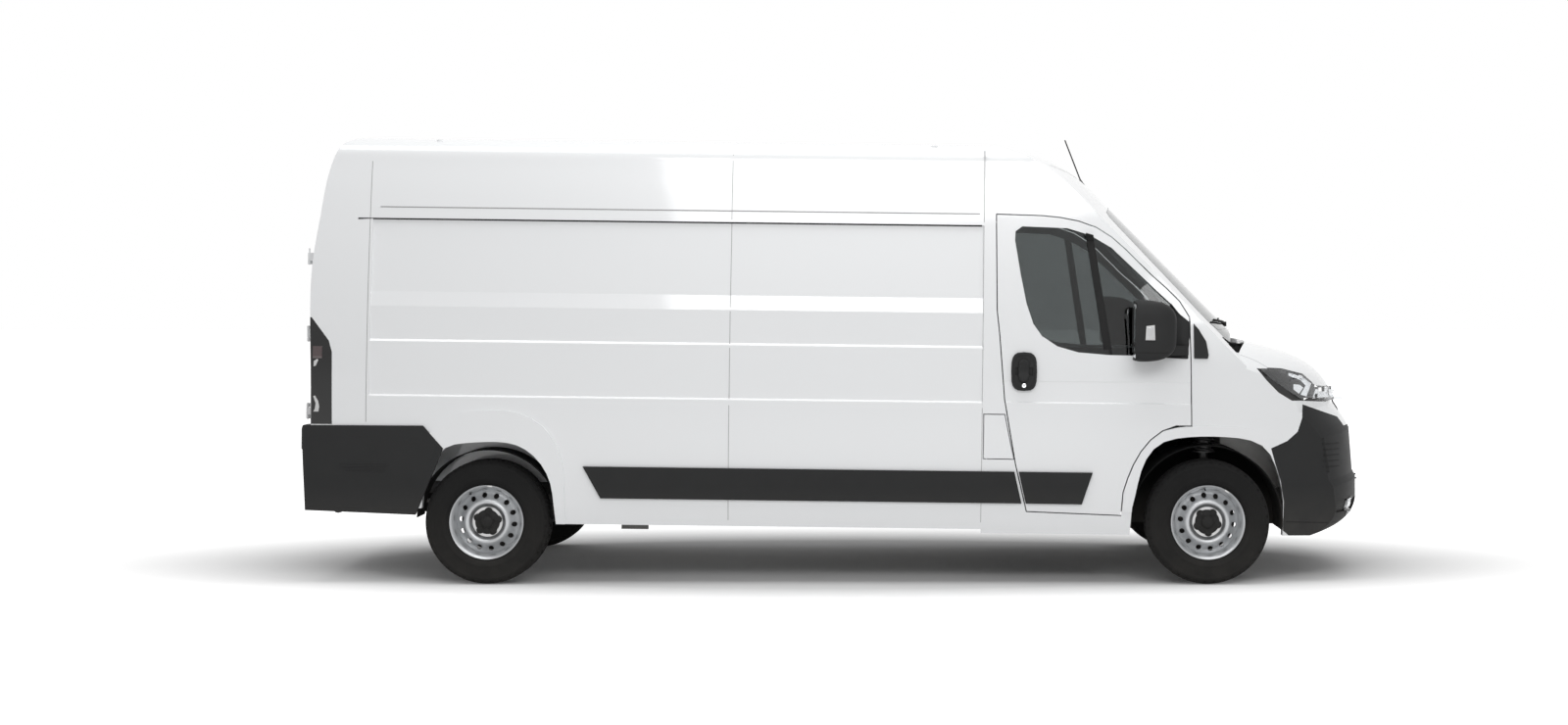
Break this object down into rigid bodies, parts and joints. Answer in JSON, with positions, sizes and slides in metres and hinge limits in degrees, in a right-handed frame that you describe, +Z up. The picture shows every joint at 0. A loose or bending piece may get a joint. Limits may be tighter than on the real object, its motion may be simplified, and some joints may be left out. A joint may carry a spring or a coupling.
{
  "type": "panel van",
  "caption": "Long, high-roofed front-wheel-drive panel van with opening cab doors, bonnet, rear doors and filler flap, steered front wheels and rolling wheels.",
  "frame": {"origin": "on the floor, under the middle of the van's length and width", "axes": "+X forward, +Y to the van's left, +Z up"},
  "size_m": [6.0231, 2.506, 2.5454],
  "materials": {
    "white_paint": "gloss",
    "black_plastic": "grained",
    "tinted_glass": "polished",
    "lamp_lens": "clear",
    "tail_lens": "gloss",
    "wheel_steel": "satin",
    "tyre_rubber": "matte",
    "chassis_paint": "satin",
    "bare_steel": "dull",
    "cast_iron": "rough",
    "seat_cloth": "woven",
    "dash_plastic": "grained",
    "floor_metal": "satin"
  },
  "bodies": {
    "root": {"antenna": "black_plastic", "arch_liners": "black_plastic", "bulkhead": "floor_metal", "cab_floor": "floor_metal", "cab_frame": "white_paint", "chassis_frame": "chassis_paint", "cowl_trim": "black_plastic", "dashboard": "dash_plastic", "driver_seat": "seat_cloth", "engine_block": "cast_iron", "exhaust": "bare_steel", "floor_pan": "floor_metal", "front_bumper": "black_plastic", "front_suspension": "chassis_paint", "front_wings": "white_paint", "fuel_tank": "black_plastic", "grille": "black_plastic", "headlamps": "lamp_lens", "leaf_springs": "bare_steel", "passenger_seat": "seat_cloth", "rear_axle": "chassis_paint", "rear_bumper": "black_plastic", "rear_frame": "white_paint", "roof_front": "white_paint", "roof_rack_mounts": "bare_steel", "roof_rear": "white_paint", "rub_strips": "black_plastic", "side_panel_left_front": "white_paint", "side_panel_left_rear": "white_paint", "side_panel_right_front": "white_paint", "side_panel_right_rear": "white_paint", "sliding_door": "white_paint", "spare_wheel": "tyre_rubber", "tail_lamps": "tail_lens", "windscreen": "tinted_glass"},
    "bonnet": {"bonnet": "white_paint"},
    "fuel_flap": {"fuel_flap": "white_paint"},
    "steering_wheel": {"steering_wheel": "dash_plastic"},
    "rear_door_right": {"rear_door_right": "white_paint"},
    "rear_door_left": {"rear_door_left": "white_paint"},
    "front_door_right": {"front_door_right": "white_paint", "door_glass_right": "tinted_glass", "door_trim_right": "black_plastic", "mirror_right": "black_plastic"},
    "knuckle_right": {"knuckle_right": "cast_iron"},
    "wheel_front_right": {"tyre_front_right": "tyre_rubber", "rim_front_right": "wheel_steel"},
    "wheel_rear_right": {"tyre_rear_right": "tyre_rubber", "rim_rear_right": "wheel_steel"},
    "front_door_left": {"front_door_left": "white_paint", "door_glass_left": "tinted_glass", "door_trim_left": "black_plastic", "mirror_left": "black_plastic"},
    "knuckle_left": {"knuckle_left": "cast_iron"},
    "wheel_front_left": {"tyre_front_left": "tyre_rubber", "rim_front_left": "wheel_steel"},
    "wheel_rear_left": {"tyre_rear_left": "tyre_rubber", "rim_rear_left": "wheel_steel"}
  },
  "joints": [
    {"name": "steer_right", "type": "hinge", "parent": "root", "child": "knuckle_right", "pos_m": [2.0611, -0.85, 0.348], "axis": [0.0122, 0, 0.9999], "range_deg": [-33, 33]},
    {"name": "spin_front_right", "type": "hinge", "parent": "knuckle_right", "child": "wheel_front_right", "pos_m": [2.0611, -0.905, 0.348], "axis": [0, 1, 0], "continuous": true},
    {"name": "spin_rear_right", "type": "hinge", "parent": "root", "child": "wheel_rear_right", "pos_m": [-1.9739, -0.895, 0.348], "axis": [0, 1, 0], "continuous": true},
    {"name": "front_door_right_hinge", "type": "hinge", "parent": "root", "child": "front_door_right", "pos_m": [1.93042, -1.003, 0.96157], "axis": [0.0122, 0, 0.9999], "range_deg": [0, 70]},
    {"name": "rear_door_right_hinge", "type": "hinge", "parent": "root", "child": "rear_door_right", "pos_m": [-2.99257, -0.9, 1.40174], "axis": [0.0122, 0, 0.9999], "range_deg": [0, 180]},
    {"name": "steer_left", "type": "hinge", "parent": "root", "child": "knuckle_left", "pos_m": [2.0611, 0.85, 0.348], "axis": [0.0122, 0, 0.9999], "range_deg": [-33, 33]},
    {"name": "spin_front_left", "type": "hinge", "parent": "knuckle_left", "child": "wheel_front_left", "pos_m": [2.0611, 0.905, 0.348], "axis": [0, 1, 0], "continuous": true},
    {"name": "spin_rear_left", "type": "hinge", "parent": "root", "child": "wheel_rear_left", "pos_m": [-1.9739, 0.895, 0.348], "axis": [0, 1, 0], "continuous": true},
    {"name": "front_door_left_hinge", "type": "hinge", "parent": "root", "child": "front_door_left", "pos_m": [1.93042, 1.003, 0.96157], "axis": [-0.0122, 0, -0.9999], "range_deg": [0, 70]},
    {"name": "rear_door_left_hinge", "type": "hinge", "parent": "root", "child": "rear_door_left", "pos_m": [-2.99257, 0.9, 1.40174], "axis": [-0.0122, 0, -0.9999], "range_deg": [0, 180]},
    {"name": "bonnet_hinge", "type": "hinge", "parent": "root", "child": "bonnet", "pos_m": [2.31843, 0, 1.28785], "axis": [0, -1, 0], "range_deg": [0, 55]},
    {"name": "fuel_flap_hinge", "type": "hinge", "parent": "root", "child": "fuel_flap", "pos_m": [0.8237, -1.0115, 0.82808], "axis": [-0.0122, 0, -0.9999], "range_deg": [0, 100]},
    {"name": "steering_wheel_turn", "type": "hinge", "parent": "root", "child": "steering_wheel", "pos_m": [1.64768, -0.47, 1.23004], "axis": [-0.6913, 0, 0.7226], "range_deg": [-496, 496]}
  ],
  "couplings": [
    {"joint": "steer_left", "follows": "steer_right", "ratio": 1},
    {"joint": "steering_wheel_turn", "follows": "steer_right", "ratio": 15}
  ]
}
